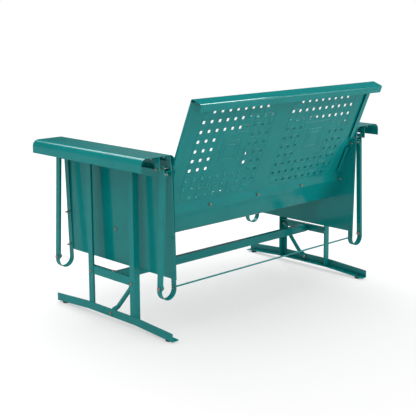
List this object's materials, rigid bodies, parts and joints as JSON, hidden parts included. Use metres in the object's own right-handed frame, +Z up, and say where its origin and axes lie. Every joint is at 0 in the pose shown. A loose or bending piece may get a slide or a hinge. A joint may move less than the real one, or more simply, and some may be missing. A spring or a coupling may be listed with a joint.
{
  "type": "glider bench",
  "caption": "Porch glider bench with a perforated sheet steel seat and rolled back, channel arms and leaning side panels, hung on swing links from an angle iron stand.",
  "frame": {"origin": "on the floor, under the middle of the bench's outline at rest", "axes": "+X to the sitter's left along the bench, +Y to the rear, +Z up; the sitter looks along -Y"},
  "size_m": [1.262, 0.7476, 0.8204],
  "materials": {
    "painted": "glossy teal powder coat on steel",
    "zinc": "zinc plated fasteners",
    "bush": "natural nylon bearing bushes",
    "rubber": "matt dark rubber"
  },
  "bodies": {
    "stand": {"foot_rail_left": "painted", "foot_rail_right": "painted", "foot_pads": "rubber", "front_upright_left": "painted", "front_upright_right": "painted", "rear_upright_left": "painted", "rear_upright_right": "painted", "crossbar_left": "painted", "crossbar_right": "painted", "diagonal_brace_left": "painted", "diagonal_brace_right": "painted", "top_rail_left": "painted", "top_rail_right": "painted", "rail_bushes": "bush", "stretcher": "painted", "brace_bolts": "zinc", "crossbar_bolts": "zinc", "stretcher_bolts": "zinc", "rail_spacers": "zinc", "rail_bolts": "zinc"},
    "link_front_left": {"swing_link_front_left": "painted", "link_pin_front_left": "zinc", "link_bush_front_left": "bush"},
    "link_front_right": {"swing_link_front_right": "painted", "link_pin_front_right": "zinc", "link_bush_front_right": "bush"},
    "link_rear_left": {"swing_link_rear_left": "painted", "link_pin_rear_left": "zinc", "link_bush_rear_left": "bush"},
    "link_rear_right": {"swing_link_rear_right": "painted", "link_pin_rear_right": "zinc", "link_bush_rear_right": "bush"},
    "seat": {"strap_front_left": "painted", "strap_front_right": "painted", "strap_rear_left": "painted", "strap_rear_right": "painted", "arm_bracket_front_left": "painted", "arm_bracket_front_right": "painted", "arm_bracket_rear_left": "painted", "arm_bracket_rear_right": "painted", "side_panel_left": "painted", "side_panel_right": "painted", "arm_left": "painted", "arm_right": "painted", "arm_nuts": "zinc", "back_panel": "painted", "seat_pan": "painted", "seat_rail_front": "painted", "seat_rail_middle": "painted", "tie_rod": "painted", "tie_rod_nuts": "zinc", "pivot_bolts": "zinc", "long_bolts": "zinc", "strap_bolts": "zinc", "strap_rivets": "painted", "seat_rail_bolts": "zinc", "back_side_bolts": "zinc", "seat_joint_bolts": "zinc"}
  },
  "joints": [
    {"name": "link_front_left_swing", "type": "hinge", "parent": "stand", "child": "link_front_left", "pos_m": [0.52406, -0.34678, 0.567], "axis": [1, 0, 0], "range_deg": [-6.5, 6.5]},
    {"name": "seat_swing", "type": "hinge", "parent": "link_front_left", "child": "seat", "pos_m": [0.53983, -0.34678, 0.184], "axis": [1, 0, 0], "range_deg": [-6.5, 6.5]},
    {"name": "link_front_right_swing", "type": "hinge", "parent": "stand", "child": "link_front_right", "pos_m": [-0.52406, -0.34678, 0.567], "axis": [1, 0, 0], "range_deg": [-6.5, 6.5]},
    {"name": "link_rear_left_swing", "type": "hinge", "parent": "stand", "child": "link_rear_left", "pos_m": [0.52406, 0.23522, 0.567], "axis": [1, 0, 0], "range_deg": [-6.5, 6.5]},
    {"name": "link_rear_right_swing", "type": "hinge", "parent": "stand", "child": "link_rear_right", "pos_m": [-0.52406, 0.23522, 0.567], "axis": [1, 0, 0], "range_deg": [-6.5, 6.5]}
  ],
  "couplings": [
    {"joint": "seat_swing", "follows": "link_front_left_swing", "ratio": -1},
    {"joint": "link_front_right_swing", "follows": "link_front_left_swing", "ratio": 1},
    {"joint": "link_rear_left_swing", "follows": "link_front_left_swing", "ratio": 1},
    {"joint": "link_rear_right_swing", "follows": "link_front_left_swing", "ratio": 1}
  ]
}
